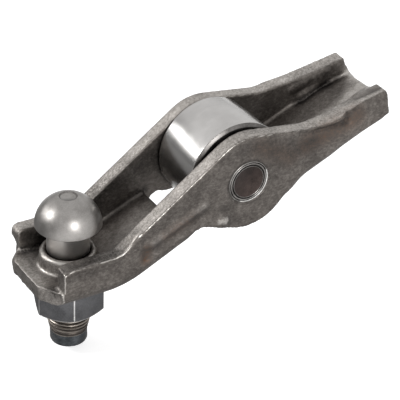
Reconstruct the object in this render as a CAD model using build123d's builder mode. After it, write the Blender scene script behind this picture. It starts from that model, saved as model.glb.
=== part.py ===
"""Roller rocker arm (finger type) with an adjustable ball stud and lock nut.

Frame: origin on the roller axle, midway between the two walls.  +X runs towards
the valve end, +Y across the arm, +Z along the stud towards its ball.  Units: mm.
"""
import os
from math import atan2, cos, degrees, hypot, pi, radians, sin, sqrt, tan

from build123d import *

# ---------------------------------------------------------------- driving sizes
pivot_reach = 32.0        # roller axle to stud axis, along X
valve_reach = 32.6        # roller axle to the valve end of the arm, along X
sheet = 3.0               # sheet thickness of the pressed arm
roller_d = 20.0           # roller running surface
roller_len = 12.0         # roller length over its ends
axle_d = 7.7              # axle through both walls
needle_d = 2.0            # needle roller diameter
stud_d = 8.0              # thread major diameter of the ball stud
ball_d = 12.3             # ball head of the stud
nut_flats = 12.0          # lock nut across flats
nut_height = 6.5          # lock nut height
floor_drop = 12.9         # axle down to the arm's floor at the pivot end
pad_rise = 7.3            # axle up to the floor at the valve end
stud_length = 31.1        # ball top to stud tip

# ---------------------------------------------------------------- clearances
roller_side_gap = 0.6     # roller end to wall, mean of both sides
roller_shift = 0.35       # the roller rests nearer the +Y wall
needle_gap = 0.02         # radial play, axle to needle and needle to roller
needle_end_gap = 0.3      # needle end inside the roller's end face
press_gap = 0.01          # axle to its holes in the walls
thread_gap = 0.03         # stud to the collar's and nut's threads, radial
roller_proud = 0.45       # roller past the lobes on the cam side
roller_proud_top = 0.6    # roller past the walls on the stud side

# ---------------------------------------------------------------- derived sizes
roller_r = roller_d / 2
axle_r = axle_d / 2
needle_r = needle_d / 2
stud_r = stud_d / 2
ball_r = ball_d / 2
wall_in = roller_len / 2 + roller_side_gap
wall_out = wall_in + sheet
needle_pitch_r = axle_r + needle_gap + needle_r
roller_bore_r = needle_pitch_r + needle_r + needle_gap
needle_count = int(2 * pi * needle_pitch_r / (needle_d + 0.02))
needle_len = roller_len - 2 * needle_end_gap
lobe_r = roller_r - roller_proud
eye_r = roller_r - roller_proud_top
pivot_top = -floor_drop + 4.65            # top of the walls at the pivot end
pivot_under = -floor_drop - sheet         # underside of the floor at the pivot
pivot_end = -pivot_reach - 6.7            # where the +Y wall stops
near_short = 1.1                          # the -Y wall stops this much earlier
end_lean = 1.0                            # foot of the walls' ends set back from the top
tab_end = pivot_end - 1.8                 # where the floor's tab stops
tab_half = 4.7                            # half width of the tab
collar_r = stud_r + 1.3                   # raised collar round the stud
collar_top = -floor_drop + 3.0
window_pivot = -(roller_r + 3.2)          # window edge in the floor, pivot side
window_valve = roller_r + 3.0             # window edge in the floor, valve side
end_top = pad_rise + 3.45                 # top of the walls at the valve end
end_under = pad_rise - 1.9                # underside of the floor at the valve end
bend_out = 2.5                            # outer bend radius, floor to wall
bend_in = 0.6                             # inner bend radius
heel_r = 18.0                             # underside's curve where the floor starts to climb
elbow_r = 14.0                            # underside's curve near the valve end
crotch_r = 4.0                            # curve between the floor and the lobes
ball_centre = collar_top + 4.9            # height of the ball's centre
ball_under = ball_centre + 0.2            # flat underside of the ball head
stud_tip = ball_centre + ball_r - stud_length


def tangent_point(px, pz, r, side):
    """Point where a line from (px, pz) touches the circle r about the axle."""
    d = hypot(px, pz)
    a = atan2(pz, px) + side * atan2(sqrt(d * d - r * r), r)
    return (r * cos(a), r * sin(a))


# ---------------------------------------------------------------- side outline
knee = (-pivot_reach + 5.0, pivot_top + 0.1)
eye_in = tangent_point(knee[0], knee[1], eye_r, -1)
dip = (roller_r + 2.4, eye_r - 1.55)
eye_out = tangent_point(dip[0], dip[1], eye_r, 1)
eye_mid = (eye_r * cos(radians(100)), eye_r * sin(radians(100)))
end_tip = (valve_reach - 0.8, end_top)
end_low = (valve_reach - 0.1, end_under)
elbow_under = (valve_reach - 6.6, end_under - 2.55)
start_under = (roller_r + 2.3, -3.2)
lobe_b = radians(-105)
slope_low = (-pivot_reach + 7.0, pivot_under)
slope_high = (-(roller_r + 3.5), -(roller_r + 0.4))
slope_rise = (slope_high[1] - slope_low[1]) / (slope_high[0] - slope_low[0])
valve_rise = (elbow_under[1] - start_under[1]) / (elbow_under[0] - start_under[0])
end_rise = (end_low[1] - elbow_under[1]) / (end_low[0] - elbow_under[0])
# the floor's underside, carried on until it meets the lobes' circle
level = start_under[1] - valve_rise * start_under[0]
reach = 1 + valve_rise**2
crotch_x = (-valve_rise * level
            + sqrt((valve_rise * level) ** 2 - reach * (level**2 - lobe_r**2))) / reach
crotch = (crotch_x, level + valve_rise * crotch_x)
lobe_mid = (atan2(crotch[1], crotch[0]) + lobe_b) / 2

# ---------------------------------------------------------------- arm body
with BuildPart() as arm_body:
    with BuildSketch(Plane.XZ) as side:
        with BuildLine():
            l1 = Polyline((pivot_end + end_lean, pivot_under), (pivot_end, pivot_top - 1),
                          (pivot_end, pivot_top), knee, eye_in)
            l2 = ThreePointArc(eye_in, eye_mid, eye_out)
            l3 = Polyline(
                eye_out, dip, (roller_r + 10.0, eye_r - 0.75), end_tip, end_low,
                elbow_under, crotch,
            )
            l4 = ThreePointArc(
                l3 @ 1,
                (lobe_r * cos(lobe_mid), lobe_r * sin(lobe_mid)),
                (lobe_r * cos(lobe_b), lobe_r * sin(lobe_b)),
            )
            l5 = Polyline(
                l4 @ 1, (-roller_r * 0.96, -roller_r * 0.70),
                (-roller_r * 1.09, -roller_r * 0.76),
                slope_high, slope_low, (pivot_end + end_lean, pivot_under),
            )
        make_face()
        # soften the corners of the blank before it is folded
        for spot, r in ((knee, 3.0), (slope_low, heel_r), (elbow_under, elbow_r), (dip, 8.0),
                        (crotch, crotch_r), ((pivot_end, pivot_top), 0.9)):
            near = [v for v in side.vertices()
                    if abs(v.X - spot[0]) + abs(v.Y - spot[1]) < 0.05]
            fillet(near, radius=r)
    extrude(amount=wall_out, both=True)

    # sheared top edges roll over a little on the outside
    over = [
        e for e in arm_body.edges()
        if abs(abs(e.center().Y) - wall_out) < 0.01
        and e.center().Z > 0.62 * e.center().X + (9.0 if e.center().X < -5 else -12.0)
        and pivot_end + 0.05 < e.center().X < valve_reach - 1.19
        and (e.center().X < 1 - lobe_r or e.center().Z > 5)
    ]
    fillet(over, radius=0.4)

    # the -Y wall is a little shorter at the pivot end
    with Locations((pivot_end, -wall_out, -floor_drop)):
        Box(2 * near_short, 2 * (wall_out - wall_in), 20, mode=Mode.SUBTRACT,
            align=(Align.CENTER, Align.CENTER, Align.MIN))

    # floor tab past the ends of the walls
    with BuildSketch(Plane.XY.offset(pivot_under)):
        with BuildLine():
            Polyline(
                (pivot_end + 2, -wall_out + 0.6), (pivot_end + 0.9, -wall_out + 0.6),
                (tab_end, -tab_half), (tab_end, tab_half),
                (pivot_end + 0.9, wall_out - 0.6), (pivot_end + 2, wall_out - 0.6),
                close=True,
            )
        make_face()
    extrude(amount=sheet)

    # bend radius along the outside of the fold; it runs out where the valve end's floor stops
    for corner, r, far, stop, run_out in (
        (slope_low, heel_r + 0.7, (tab_end - 2, pivot_under),
         (slope_high[0] + 3.6, slope_high[1] + 3.6 * slope_rise), 0),
        (elbow_under, elbow_r + 3, (end_low[0] + 5, end_low[1] + 5 * end_rise),
         (start_under[0] + 1.5, start_under[1] + 1.5 * valve_rise), 4.6),
    ):
        with BuildLine(Plane.XZ) as route:
            FilletPolyline(far, corner, stop, radius=r)
            if run_out:
                d = hypot(stop[0] - corner[0], stop[1] - corner[1])
                ux, uz = (stop[0] - corner[0]) / d, (stop[1] - corner[1]) / d
                TangentArc(stop, (stop[0] + run_out * (ux - 0.46 * uz),
                                  stop[1] + run_out * (uz + 0.46 * ux)), tangent=(ux, uz))
        across = Plane(origin=(far[0], 0, far[1]), x_dir=(0, 1, 0),
                       z_dir=(corner[0] - far[0], 0, corner[1] - far[1]))
        up = 1 if across.y_dir.Z > 0 else -1
        for s in (-1, 1):
            with BuildSketch(across) as profile:
                with BuildLine():
                    # the round starts a hair under the floor, so that it leaves a clean edge
                    w, b, hair = wall_out, bend_out, 0.03
                    c = b * (1 - cos(radians(45)))
                    q = Line((s * w, up * (b - hair)), (s * (w + 1), up * (b - hair)))
                    Polyline(q @ 1, (s * (w + 1), -up), (s * (w - b), -up),
                             (s * (w - b), -up * hair))
                    ThreePointArc((s * (w - b), -up * hair), (s * (w - c), up * (c - hair)), q @ 0)
                make_face()
            sweep(sections=profile.sketch, path=route.wire(), mode=Mode.SUBTRACT)

    # inside of the channel, and the window the roller stands in
    with BuildSketch(Plane.XZ) as inside:
        with BuildLine():
            Polyline(
                (pivot_end - 5, -floor_drop),
                (slope_low[0] - 0.55, -floor_drop),
                (window_pivot, slope_high[1] + 3.25),
                (window_pivot, pivot_under - 5),
                (window_valve, pivot_under - 5),
                (window_valve, 0.35),
                (elbow_under[0] - 0.6, elbow_under[1] + 2.85),
                (valve_reach + 6, pad_rise + 1.9),
                (valve_reach + 6, end_top + 8),
                (pivot_end - 5, end_top + 8),
                close=True,
            )
        make_face()
    extrude(amount=wall_in, both=True, mode=Mode.SUBTRACT)
    inner = [
        e for e in arm_body.edges()
        if abs(abs(e.center().Y) - wall_in) < 0.01
        and (
            (e.bounding_box().max.Z < -floor_drop + 0.01 and e.length > 3)
            or (e.bounding_box().max.X < window_pivot + 0.01
                and e.bounding_box().min.X > -pivot_reach and e.length > 8
                and e.center().Z < slope_high[1] + 2)
            or (e.bounding_box().min.X > window_valve - 0.01 and e.length > 3
                and e.center().Z < pad_rise - 0.2)
        )
    ]
    fillet(inner, radius=bend_in)

    # collar drawn up round the stud, threaded through
    skirt, brow, x = 0.6, 0.7, -pivot_reach
    with BuildSketch(Plane.XZ):
        with BuildLine():
            Polyline(
                (x, -floor_drop - 0.5), (x, collar_top), (x + collar_r - brow, collar_top),
                (x + collar_r - 0.3 * brow, collar_top - 0.3 * brow),
                (x + collar_r, collar_top - brow), (x + collar_r, -floor_drop + skirt),
                (x + collar_r + 0.3 * skirt, -floor_drop + 0.3 * skirt),
                (x + collar_r + skirt, -floor_drop), (x + collar_r + skirt, -floor_drop - 0.5),
                close=True,
            )
        make_face()
    revolve(axis=Axis((x, 0, 0), (0, 0, 1)))
    with Locations((-pivot_reach, 0, pivot_under - 1)):
        Cylinder(stud_r + thread_gap, 12, align=(Align.CENTER, Align.CENTER, Align.MIN),
                 mode=Mode.SUBTRACT)
    with Locations((-pivot_reach, 0, collar_top - 0.5)):
        Cone(stud_r + thread_gap - 0.05, stud_r + 0.5, 0.51,
             align=(Align.CENTER, Align.CENTER, Align.MIN), mode=Mode.SUBTRACT)

    # inner ledge of the -Y wall at the valve end, and its pinched top edge
    z0 = pad_rise
    full = [(-wall_in - 0.5, z0 - 0.7), (-wall_in - 0.5, end_top - 0.1),
            (-3.4, end_top - 0.45), (-0.9, z0 + 1.2), (2.6, z0 + 0.1), (2.6, z0 - 0.7)]
    none = [(-wall_in - 0.5, -0.5), (-wall_in - 0.5, z0 + 0.6), (-wall_in + 0.15, z0 + 0.5),
            (-wall_in + 0.3, z0 - 2.0), (-wall_in + 0.4, z0 - 4.5), (-wall_in + 0.4, -0.5)]
    with BuildSketch(Plane.YZ.offset(valve_reach - 17)):
        with BuildLine():
            Polyline(none, close=True)
        make_face()
    with BuildSketch(Plane.YZ.offset(valve_reach + 1.5)):
        with BuildLine():
            Polyline(full, close=True)
        make_face()
    loft(ruled=True)
    with BuildSketch(Plane.XZ) as beyond:
        with BuildLine():
            lean = (end_low[0] - end_tip[0]) / (end_tip[1] - end_low[1])
            Polyline((end_tip[0] - 4 * lean, end_tip[1] + 4), (end_low[0] + 6 * lean,
                     end_low[1] - 6), (valve_reach + 9, end_low[1] - 6),
                     (valve_reach + 9, end_tip[1] + 4), close=True)
        make_face()
    extrude(amount=wall_out + 1, both=True, mode=Mode.SUBTRACT)
    for back, lean in ((13.0, -0.05), (11.0, 0.7), (8.5, 1.9), (6.0, 2.3), (-2.0, 2.3)):
        with BuildSketch(Plane.YZ.offset(valve_reach - back)):
            with BuildLine():
                Polyline((-wall_out - 0.02, end_under - 2), (-wall_out + lean, end_top + 2),
                         (-wall_out - 5, end_top + 2), (-wall_out - 5, end_under - 2),
                         close=True)
            make_face()
    loft(ruled=True, mode=Mode.SUBTRACT)

    # axle holes, eased at the outer faces
    with Locations(Rotation(90, 0, 0)):
        Cylinder(axle_r + press_gap, wall_out * 2 + 2, mode=Mode.SUBTRACT)
    for s in (-1, 1):
        with Locations(Location((0, s * (wall_out - 0.25), 0), (-90 * s, 0, 0))):
            Cone(axle_r, axle_r + 0.36, 0.52, mode=Mode.SUBTRACT)
arm_body.part.label = "arm_body"

# ---------------------------------------------------------------- axle
groove_a, groove_b = axle_r - 0.62, axle_r - 0.36
axle_half = wall_out - 0.08
with BuildPart() as axle:
    with BuildSketch(Plane.XY):
        with BuildLine():
            Polyline(
                (0, -axle_half), (groove_a, -axle_half), (groove_a + 0.06, -axle_half + 0.25),
                (groove_b - 0.06, -axle_half + 0.25), (groove_b, -axle_half + 0.02),
                (axle_r - 0.14, -axle_half + 0.02), (axle_r, -axle_half + 0.18),
                (axle_r, axle_half - 0.18), (axle_r - 0.14, axle_half - 0.02),
                (groove_b, axle_half - 0.02), (groove_b - 0.06, axle_half - 0.25),
                (groove_a + 0.06, axle_half - 0.25), (groove_a, axle_half), (0, axle_half),
                close=True,
            )
        make_face()
    revolve(axis=Axis.Y)
axle.part.label = "axle"

# ---------------------------------------------------------------- roller
with BuildPart() as roller:
    h = roller_len / 2
    with BuildSketch(Plane.XY):
        with BuildLine():
            Polyline(
                (roller_bore_r, -h + 0.3), (roller_bore_r + 0.3, -h),
                (roller_r - 0.75, -h), (roller_r, -h + 0.42), (roller_r, h - 0.42),
                (roller_r - 0.75, h), (roller_bore_r + 0.3, h), (roller_bore_r, h - 0.3),
                close=True,
            )
        make_face()
    revolve(axis=Axis.Y)
roller.part = roller.part.moved(Location((0, roller_shift, 0)))
roller.part.label = "roller"

# ---------------------------------------------------------------- ball stud
neck_r = stud_r - 0.05
relief_top = collar_top - 0.2
thread_end = stud_tip + 4.75              # full thread stops, and starts to taper
tip_r = stud_r - 0.52
with BuildPart() as ball_stud:
    with BuildSketch(Plane.XZ):
        with BuildLine():
            flat_z = ball_centre + sqrt(ball_r**2 - 1.7**2)
            low_r = sqrt(ball_r**2 - (ball_under - ball_centre) ** 2)
            p = Polyline(
                (low_r, ball_under), (neck_r + 0.5, ball_under), (neck_r, ball_under - 0.4),
                (neck_r, relief_top), (stud_r - 0.3, relief_top - 0.4),
                (stud_r - 0.3, relief_top - 0.9), (stud_r, relief_top - 1.3),
                (stud_r, thread_end), (tip_r, thread_end - 2.25),
                (tip_r, stud_tip + 0.45), (tip_r - 0.55, stud_tip), (0, stud_tip),
                (0, flat_z - 0.25), (1.45, flat_z - 0.25), (1.7, flat_z),
            )
            ThreePointArc(
                p @ 1,
                (ball_r * cos(radians(38)), ball_centre + ball_r * sin(radians(38))),
                p @ 0,
            )
        make_face()
    revolve(axis=Axis.Z)
ball_stud.part = ball_stud.part.moved(Location((-pivot_reach, 0, 0)))
ball_stud.part.label = "ball_stud"

# ---------------------------------------------------------------- lock nut
nut_top = pivot_under
nut_corner = nut_flats / sqrt(3)
nut_turn = 11.8
with BuildPart() as lock_nut:
    with BuildSketch(Plane.XY.offset(nut_top - nut_height)):
        with Locations(Location((-pivot_reach, 0), nut_turn)):
            RegularPolygon(nut_corner, 6)
    extrude(amount=nut_height)
    # corners turned off at both faces
    with BuildSketch(Plane.XZ) as cut:
        with BuildLine():
            m = (nut_corner - nut_flats / 2 + 0.25)
            rise = m * tan(radians(30))
            Polyline(
                (-pivot_reach + nut_flats / 2 - 0.15, nut_top - nut_height - 0.02),
                (-pivot_reach + nut_corner + 0.1, nut_top - nut_height + rise),
                (-pivot_reach + nut_corner + 2, nut_top - nut_height + rise),
                (-pivot_reach + nut_corner + 2, nut_top - nut_height - 1), 
                (-pivot_reach + nut_flats / 2 - 0.15, nut_top - nut_height - 1), close=True)
            Polyline(
                (-pivot_reach + nut_flats / 2 - 0.15, nut_top + 0.02),
                (-pivot_reach + nut_corner + 0.1, nut_top - rise),
                (-pivot_reach + nut_corner + 2, nut_top - rise),
                (-pivot_reach + nut_corner + 2, nut_top + 1),
                (-pivot_reach + nut_flats / 2 - 0.15, nut_top + 1), close=True)
        make_face()
    revolve(axis=Axis((-pivot_reach, 0, 0), (0, 0, 1)), mode=Mode.SUBTRACT)
    with Locations((-pivot_reach, 0, nut_top - nut_height / 2)):
        Cylinder(stud_r + thread_gap, nut_height + 1, mode=Mode.SUBTRACT)
    with Locations((-pivot_reach, 0, nut_top - nut_height + 0.15)):
        Cone(stud_r + 0.35, stud_r, 0.35, mode=Mode.SUBTRACT)
lock_nut.part.label = "lock_nut"

# ---------------------------------------------------------------- needles
needles = []
for i in range(needle_count):
    a = 2 * pi * i / needle_count
    with BuildPart() as needle:
        with Locations(Rotation(90, 0, 0)):
            Cylinder(needle_r, needle_len)
    one = needle.part.moved(
        Location((needle_pitch_r * cos(a), roller_shift, needle_pitch_r * sin(a))))
    one.label = "needle_%02d" % (i + 1)
    needles.append(one)

# ---------------------------------------------------------------- export
os.makedirs("parts", exist_ok=True)
export_step(arm_body.part, "parts/arm_body.step")
export_step(axle.part, "parts/axle.step")
export_step(roller.part, "parts/roller.step")
export_step(ball_stud.part, "parts/ball_stud.step")
export_step(lock_nut.part, "parts/lock_nut.step")
for one in needles:
    export_step(one, "parts/%s.step" % one.label)
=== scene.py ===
"""Roller rocker arm: the pressed arm, its roller and its ball stud, finished for rendering.

The solids, sizes and joints come from the frame.  This file eases the edges, winds the
stud's thread and gives each piece the finish that its making leaves on it, with some light
and shade painted into its colour.
"""
from math import asin, cos, pi, radians, sin, sqrt

import bpy
import numpy as np
from bpy.props import FloatProperty, FloatVectorProperty, IntProperty, PointerProperty
from mathutils import Matrix, Vector


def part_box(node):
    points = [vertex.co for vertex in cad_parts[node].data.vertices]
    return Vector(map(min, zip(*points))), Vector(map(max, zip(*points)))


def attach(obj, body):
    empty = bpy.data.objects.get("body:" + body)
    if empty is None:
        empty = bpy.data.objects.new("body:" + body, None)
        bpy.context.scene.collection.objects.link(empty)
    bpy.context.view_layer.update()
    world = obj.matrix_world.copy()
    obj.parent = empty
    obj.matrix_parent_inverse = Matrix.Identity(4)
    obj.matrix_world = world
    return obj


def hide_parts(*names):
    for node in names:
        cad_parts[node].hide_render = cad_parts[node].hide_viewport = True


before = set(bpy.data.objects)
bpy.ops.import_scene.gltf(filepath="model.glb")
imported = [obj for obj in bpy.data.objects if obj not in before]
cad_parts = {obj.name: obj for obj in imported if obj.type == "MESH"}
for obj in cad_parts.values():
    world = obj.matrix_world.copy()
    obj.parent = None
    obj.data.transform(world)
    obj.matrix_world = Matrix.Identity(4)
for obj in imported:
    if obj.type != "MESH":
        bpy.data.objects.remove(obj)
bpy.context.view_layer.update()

bl_info = {
    "name": "Roller Rocker Arm",
    "version": (1, 0, 0),
    "blender": (4, 2, 0),
    "location": "View3D > Sidebar > Rocker Arm",
    "description": "Builds and finishes a pressed steel roller rocker arm",
    "category": "Object",
}

MM = 0.001
NEEDLES = sorted(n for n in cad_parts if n.startswith("needle_"))


# ------------------------------------------------------------------ places from the frame
def middle(name):
    """The middle of a CAD node's box."""
    low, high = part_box(name)
    return (low + high) / 2


STUD_LOW, STUD_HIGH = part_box("ball_stud")
ROLLER_LOW, ROLLER_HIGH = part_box("roller")
AXLE_LOW, AXLE_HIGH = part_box("axle")
NEEDLE_LOW, NEEDLE_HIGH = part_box(NEEDLES[0])
BALL_R = (STUD_HIGH.y - STUD_LOW.y) / 2
ROLLER_R = (ROLLER_HIGH.z - ROLLER_LOW.z) / 2
AXLE_R = (AXLE_HIGH.z - AXLE_LOW.z) / 2
NEEDLE_R = (NEEDLE_HIGH.z - NEEDLE_LOW.z) / 2
STUD_X = middle("ball_stud").x
WALL_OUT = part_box("arm_body")[1].y             # a wall's outer face, from the middle
COLLAR_BASE = -12.9                            # mm, the arm's floor round the collar


# ------------------------------------------------------------------ marks left by the making, and painted light and shade
SKIN = ("45413E", "625D59", "827D78")          # dark scale, from its dullest to its barest
SHEARED = ("6A6662", "A09B96", "CDC8C3")       # the broken grain of a sheared edge
HEAT_TINT = "C9A48C"                           # laid over the skin as a brown film
SOOT_AND_SHADE = "262423"                                # painted shade in folds, creases and corners, and darker patches elsewhere
RUBBED_AND_HIGHLIT_STEEL = "AEAAA5"                        # corners that the tumbler wore bare, and painted highlights

# Each mark runs from one point to another, in mm in the arm's frame, and fades out at its
# reach.  A dent's last value is how far it pushes the skin, in mm along X, Y and Z; any
# other mark's is its strength.
DENTS = (
    ((-5.3, -9.6, -7.0), (-5.1, -9.6, -7.0), 2.0, (0, -0.54, 0)),         # nub by the lobe
    ((-3.4, -9.6, -5.6), (-3.4, -9.6, -5.6), 3.0, (0, 0.2, 0)),
    ((-20.6, -9.6, -7.7), (-9.3, -9.6, -2.3), 1.5, (0, -0.25, 0)),        # joggle in the wall
    ((-19.6, -9.6, -9.0), (-8.6, -9.6, -4.2), 1.6, (0, 0.2, 0)),
    ((-21.5, -9.6, -6.6), (-21.2, -9.6, -10.2), 1.3, (0, 0.32, 0)),
    ((-25.2, -8.6, -7.6), (-24.4, -8.4, -7.2), 1.9, (0, 0, -0.55)),       # step at the knee
    ((-22.7, -8.8, -5.4), (-22.7, -8.8, -5.4), 1.6, (0, -0.15, 0.35)),
    ((11.0, -9.5, 7.3), (20.9, -9.1, 7.2), 1.0, (0, 0.4, 0)),             # pinched valve end
    ((21.3, -9.2, 11.5), (21.7, -9.2, 7.0), 1.3, (0, 0.4, 0)),
    ((24.6, -9.2, 12.5), (25.0, -9.2, 9.4), 1.5, (0, 0.25, 0)),
    ((12.5, -9.2, 7.4), (19.0, -9.2, 8.4), 1.5, (0, 0, -0.4)),
    ((22.0, -9.0, 10.4), (28.5, -9.0, 12.6), 1.6, (0, 0.1, 0.35)),
    ((33.4, 6.4, 6.2), (33.2, -3.4, 7.6), 3.6, (1.1, 0, 0)),              # lip of the valve end
    ((32.4, 6.8, 8.2), (32.8, 6.4, 6.4), 2.6, (0.7, 0, -0.2)),
    ((31.6, -7.4, 12.8), (31.6, -9.6, 12.6), 3.4, (-1.8, 0, -0.3)),
    ((32.2, -9.3, 9.0), (32.2, -9.3, 5.0), 2.6, (-0.7, 0, 0)),
    ((21.0, 6.0, 3.6), (31.0, 6.0, 7.2), 1.2, (0, 0.2, -0.3)),            # far crease
    ((21.0, -9.3, 2.0), (33.0, -9.3, 4.6), 3.0, (0, 0, 0.22)),
    ((15.0, 9.4, 8.4), (31.0, 9.4, 10.8), 2.4, (0, 0, 0.2)),
    ((20.0, 7.1, 6.8), (27.5, 7.1, 9.0), 1.5, (0, -0.4, -0.1)),
    ((22.5, 7.0, 4.6), (26.5, 7.0, 7.2), 1.9, (0, -0.42, 0)),             # swelling over it
    ((-13.2, -6.0, -9.0), (-13.2, 6.4, -9.0), 2.8, (0.9, 0, 0.1)),        # window's pivot end
    ((-10.6, 6.6, -7.8), (-6.6, 6.6, -6.4), 2.3, (0, 0, -0.9)),
    ((-38.4, 6.5, -12.8), (-38.4, -2.0, -12.8), 3.5, (-0.3, 0, 0)),       # tab and wall ends
    ((-38.6, 6.6, -15.2), (-38.6, 5.4, -15.2), 2.8, (-0.8, 0, 0)),
    ((-38.6, 9.4, -12.6), (-38.6, 7.4, -12.6), 2.4, (0.6, 0, 0)),
    ((-39.0, -7.4, -8.6), (-39.0, -9.6, -8.8), 3.4, (0, 0, -0.9)),
    ((-39.0, 9.6, -8.4), (-39.0, 9.0, -8.4), 2.0, (0.2, -0.15, -0.2)),
    ((-38.4, 9.0, -9.0), (-38.4, 9.0, -14.0), 4.0, (-0.3, 0.1, 0)),
)
# This table darkens the skin towards the soot colour: in the folds, the creases, the far wall's
# inside, the gap at the near wall's end and under the joggle that darkening is painted shade;
# elsewhere it darkens the skin in patches.
SMUT_AND_SHADE = (
    ((-36.5, -8.3, -9.6), (-27.0, -8.3, -8.6), 2.6, 1.0),                 # wall top by the stud
    ((-30.5, -6.0, -11.0), (-25.5, -6.4, -11.0), 2.6, 0.8),
    ((-36.0, 7.0, -10.5), (-30.0, 7.0, -10.5), 3.6, 0.9),                 # far wall, inside
    ((-30.0, 7.0, -9.0), (-10.0, 7.0, 0.0), 4.6, 0.7),
    ((-38.0, 6.6, -12.4), (-24.0, 6.6, -12.4), 1.6, 1.3),
    ((10.9, -9.5, 7.1), (21.2, -9.2, 7.0), 1.2, 0.8),                     # pinched strip
    ((21.6, -9.0, 10.0), (21.9, -9.0, 7.2), 1.1, 0.8),
    ((23.0, -8.9, 11.0), (23.4, -8.9, 8.8), 0.9, 0.7),
    ((9.5, -9.6, 4.6), (13.0, -9.6, 4.0), 6.0, 0.55),                     # beside the eye
    ((4.0, -9.6, 5.6), (8.0, -9.6, 5.0), 3.6, 0.5),
    ((-5.2, -9.6, -4.4), (-2.0, -9.6, -7.4), 2.4, 0.45),
    ((0.5, -8.0, 9.6), (5.5, -8.0, 8.8), 2.6, 0.4),
    ((21.6, 6.3, 3.8), (28.4, 6.3, 6.5), 1.4, 1.4),                       # far crease
    ((28.4, 6.3, 6.5), (31.6, 6.2, 7.6), 1.2, 0.8),
    ((21.0, 7.0, 7.2), (32.0, 7.0, 9.0), 3.4, 0.45),                      # far wall over it
    ((-38.8, -7.4, -10.0), (-38.8, -7.6, -13.0), 2.2, 1.1),               # end of the near wall
    ((-18.0, -9.6, -4.5), (-9.0, -9.6, 1.0), 4.5, 0.35),                  # slope, outside
    ((5.0, -9.6, 1.0), (9.0, -9.6, 4.0), 5.5, 0.4),
    ((-4.0, -9.6, 6.5), (5.0, -9.6, 7.0), 3.4, 0.5),
    ((27.0, -9.3, 8.5), (31.0, -9.3, 8.0), 4.0, 0.35),
    ((-23.0, 6.9, -12.2), (-12.6, 6.9, -6.7), 1.6, 1.0),                  # far fold, pivot side
    ((-18.6, -9.6, -8.8), (-8.6, -9.6, -4.0), 1.3, 0.35),                 # under the joggle
    ((-38.8, -4.0, -14.4), (-38.8, 5.0, -14.4), 1.8, 0.5),                # tab end
)
WORN = (
    ((-19.8, -9.7, -7.2), (-9.3, -9.7, -2.2), 0.9, 0.35),                 # crest of the joggle
    ((20.5, -1.6, 4.6), (25.6, -1.7, 6.5), 2.4, 0.9),                     # where the valve rubs
    ((25.6, -1.8, 6.5), (28.3, -1.2, 7.0), 3.0, 1.0),
    ((28.3, -1.2, 7.0), (32.5, 1.5, 7.2), 3.4, 1.0),
    ((33.4, -4.0, 8.0), (33.4, 5.6, 7.2), 3.4, 1.0),
)
TINT = (
    ((-21.0, -9.6, -8.3), (-21.3, -9.6, -10.4), 1.8, 1.0),                # foot of the joggle
    ((12.0, -9.6, 4.6), (24.0, -9.2, 7.6), 3.4, 0.8),                     # pinched strip
    ((-17.0, -9.6, -6.4), (-12.0, -9.6, -4.2), 2.2, 0.6),                 # slope, outside
    ((2.0, -9.6, 6.6), (9.0, -9.6, 3.0), 3.2, 0.6),                       # beside the eye
)
# Lighter grain on the faces that look up; on the floor of the slope it is painted light,
# lightening the floor where the walls shade it.
GRAINED_AND_LIT = (
    ((14.5, -6.9, 7.4), (24.0, -6.4, 8.6), 2.2, 1.0),                     # ledge inside the wall
    ((22.0, -4.6, 7.0), (33.0, -3.0, 8.6), 3.4, 1.0),
    ((33.0, -4.0, 8.0), (33.0, 6.5, 7.0), 3.6, 1.0),                      # floor's valve end
    ((-22.6, -6.9, -6.6), (-24.6, -6.9, -8.0), 1.7, 0.9),                 # ramp at the knee
    ((-22.5, -3.0, -10.2), (-17.0, 1.5, -7.0), 5.0, 0.55),                # floor of the slope, painted light
    ((-37.5, -4.0, -13.2), (-37.5, 5.0, -13.2), 2.5, 0.5),                # the tab
    ((-39.6, -4.0, -12.9), (-39.6, 4.4, -12.9), 2.4, 1.0),
)
# Where the valve rubs the floor's end it is bare, and it is lightened further as painted light
# where the walls shade it; the nub's crown carries a painted highlight.
POLISHED_AND_HIGHLIT = (
    ((33.6, -3.6, 8.0), (33.6, 5.8, 7.2), 3.0, 1.5),                      # lip of the valve end
    ((27.0, -1.4, 6.8), (32.5, 1.0, 7.2), 2.8, 1.1),
    ((-5.9, -10.1, -6.8), (-4.9, -10.1, -6.8), 1.3, 1.3),                 # crown of the nub, a painted highlight
)
# Painted highlight lines along the near wall's outer top edge, its end by the stud, and the far
# fold on the valve side.
EDGE_HIGHLIGHTS = (
    ((-30.0, -9.5, -8.6), (-24.0, -9.5, -7.4), 1.6, 1.0),                 # lip of the knee
    ((-24.0, -9.5, -7.4), (-22.0, -9.5, -5.0), 1.6, 1.0),
    ((-22.0, -9.5, -5.0), (-10.0, -9.5, 4.0), 2.4, 1.0),
    ((-6.0, -9.5, 7.2), (4.0, -9.5, 8.6), 2.0, 0.8),
    ((-38.6, -9.5, -9.5), (-38.6, -9.5, -15.5), 1.8, 1.0),                # wall end by the stud
    ((-38.6, -9.5, -9.5), (-34.5, -9.5, -8.6), 1.4, 0.6),
    ((12.0, 6.7, -0.6), (20.9, 6.7, 2.7), 1.0, 1.0),                      # far fold, valve side
)


# ------------------------------------------------------------------ colour and nodes
def linear(hex_colour):
    """sRGB hex, such as "8A8580", as a linear RGBA tuple."""
    parts = [int(hex_colour[i:i + 2], 16) / 255 for i in (0, 2, 4)]
    return tuple(c / 12.92 if c <= 0.04045 else ((c + 0.055) / 1.055) ** 2.4 for c in parts) + (1,)


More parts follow.
